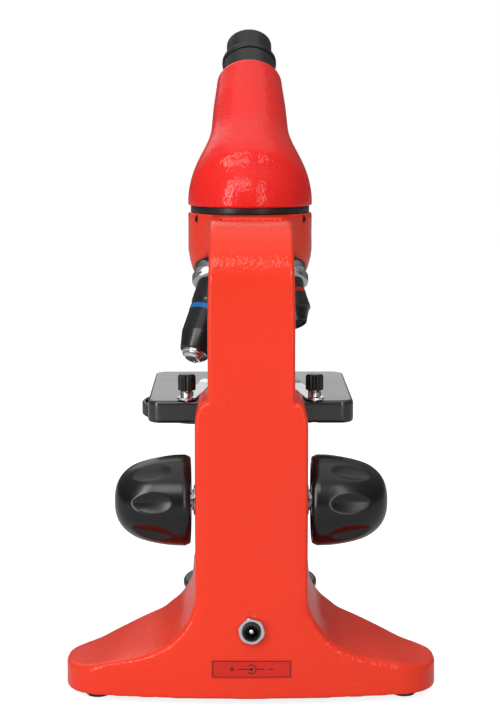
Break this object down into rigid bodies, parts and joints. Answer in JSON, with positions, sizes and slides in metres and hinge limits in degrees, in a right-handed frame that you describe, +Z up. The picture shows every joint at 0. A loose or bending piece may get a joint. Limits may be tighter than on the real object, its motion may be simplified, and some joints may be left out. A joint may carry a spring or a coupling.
{
  "type": "microscope",
  "caption": "Upright compound microscope: cast stand, rack focus, square stage with slide clips, turning nosepiece and an inclined single eyepiece.",
  "frame": {"origin": "on the table under the middle of the outline seen from above", "axes": "+Z up; the column stands at +Y and the eyepiece leans towards -Y, where the operator sits; +X is the operator's right"},
  "size_m": [0.16, 0.1562, 0.2878],
  "materials": {
    "red_enamel": "die-cast, orange-peel powder coat",
    "black_enamel": "satin black coat",
    "black_plastic": "fine moulded texture",
    "knob_plastic": "smooth moulded",
    "rubber": "matte",
    "steel": "turned",
    "chrome": "polished plate",
    "barrel_black": "turned, satin black coat",
    "brass": "machined",
    "alloy": "machined",
    "cell_wrap": "printed film with no lettering",
    "board": "solder mask",
    "led_epoxy": "phosphor dome",
    "glass": "coated lens",
    "label_film": null
  },
  "bodies": {
    "stand": {"stand_casting": "red_enamel", "base_plate": "black_plastic", "base_screws": "steel", "rubber_feet": "rubber", "battery_box": "black_plastic", "batteries": "cell_wrap", "battery_door": "black_plastic", "dc_jack": "black_plastic", "dc_jack_nut": "chrome", "dc_jack_pin": "chrome", "rating_label": "label_film", "led_board": "board", "led": "led_epoxy", "illuminator_housing": "black_plastic", "illuminator_rim": "black_plastic", "collector_lens": "glass", "dimmer_control": "black_plastic", "slide_guides": "brass", "shaft_bushings": "steel", "nosepiece_mount": "black_enamel", "nosepiece_pivot": "steel", "click_spring": "steel", "head_set_screws": "steel"},
    "dimmer": {"dimmer_wheel": "knob_plastic"},
    "focus_drive": {"focus_shaft": "steel", "focus_pinion": "steel", "focus_knob_left": "knob_plastic", "focus_knob_right": "knob_plastic"},
    "stage": {"focus_rack": "brass", "stage_slide": "alloy", "stage_plate": "black_enamel", "stage_screws": "steel", "condenser_mount": "black_enamel", "condenser_lens": "glass", "diaphragm_pivot": "steel"},
    "diaphragm": {"diaphragm_disc": "black_enamel"},
    "clip_left": {"clip_post_left": "chrome", "clip_blade_left": "chrome", "clip_cap_left": "knob_plastic"},
    "clip_right": {"clip_post_right": "chrome", "clip_blade_right": "chrome", "clip_cap_right": "knob_plastic"},
    "nosepiece": {"turret": "chrome", "objective_4x": "barrel_black", "objective_10x": "barrel_black", "objective_40x": "barrel_black", "lens_4x": "glass", "lens_10x": "glass", "tip_spring": "steel"},
    "front_cell": {"tip_40x": "chrome", "lens_40x": "glass"},
    "head": {"dovetail_ring": "black_enamel", "head_casting": "red_enamel", "prism_holder": "black_plastic", "prism": "glass", "eyepiece_tube": "black_enamel"},
    "eyepiece": {"eyepiece_body": "black_plastic", "eyepiece_cap": "black_plastic", "eye_lens": "glass", "field_lens": "glass"}
  },
  "joints": [
    {"name": "focus_turn", "type": "hinge", "parent": "stand", "child": "focus_drive", "pos_m": [0, 0.05357, 0.0853], "axis": [1, 0, 0], "range_deg": [-10.3, 204.8]},
    {"name": "stage_travel", "type": "slide", "parent": "stand", "child": "stage", "axis": [0, 0, 1], "range_m": [-0.02, 0.001]},
    {"name": "diaphragm_turn", "type": "hinge", "parent": "stage", "child": "diaphragm", "pos_m": [0.01701, -0.03142, 0.1108], "axis": [0, 0, 1], "continuous": true},
    {"name": "clip_left_swing", "type": "hinge", "parent": "stage", "child": "clip_left", "pos_m": [-0.0278, 0.03107, 0.1248], "axis": [0, 0, 1], "range_deg": [-60, 8]},
    {"name": "clip_right_swing", "type": "hinge", "parent": "stage", "child": "clip_right", "pos_m": [0.0278, 0.03107, 0.1248], "axis": [0, 0, 1], "range_deg": [-8, 60]},
    {"name": "nosepiece_turn", "type": "hinge", "parent": "stand", "child": "nosepiece", "pos_m": [0, -0.01143, 0.2127], "axis": [0, -0.342, 0.9397], "continuous": true},
    {"name": "front_cell_spring", "type": "slide", "parent": "nosepiece", "child": "front_cell", "axis": [-0.2962, -0.4821, 0.8245], "range_m": [0, 0.003], "stiffness_N_per_m": 300, "springref_m": -0.002},
    {"name": "head_turn", "type": "hinge", "parent": "stand", "child": "head", "pos_m": [0, -0.01143, 0.2043], "axis": [0, 0, 1], "continuous": true},
    {"name": "eyepiece_pull", "type": "slide", "parent": "head", "child": "eyepiece", "axis": [0, -0.7071, 0.7071], "range_m": [0, 0.028]},
    {"name": "brightness_turn", "type": "hinge", "parent": "stand", "child": "dimmer", "pos_m": [-0.046, 0.03057, 0.012], "axis": [0, 0, 1], "range_deg": [0, 270]}
  ],
  "couplings": [
    {"joint": "focus_turn", "follows": "stage_travel", "rad_per_m": -178.57}
  ]
}
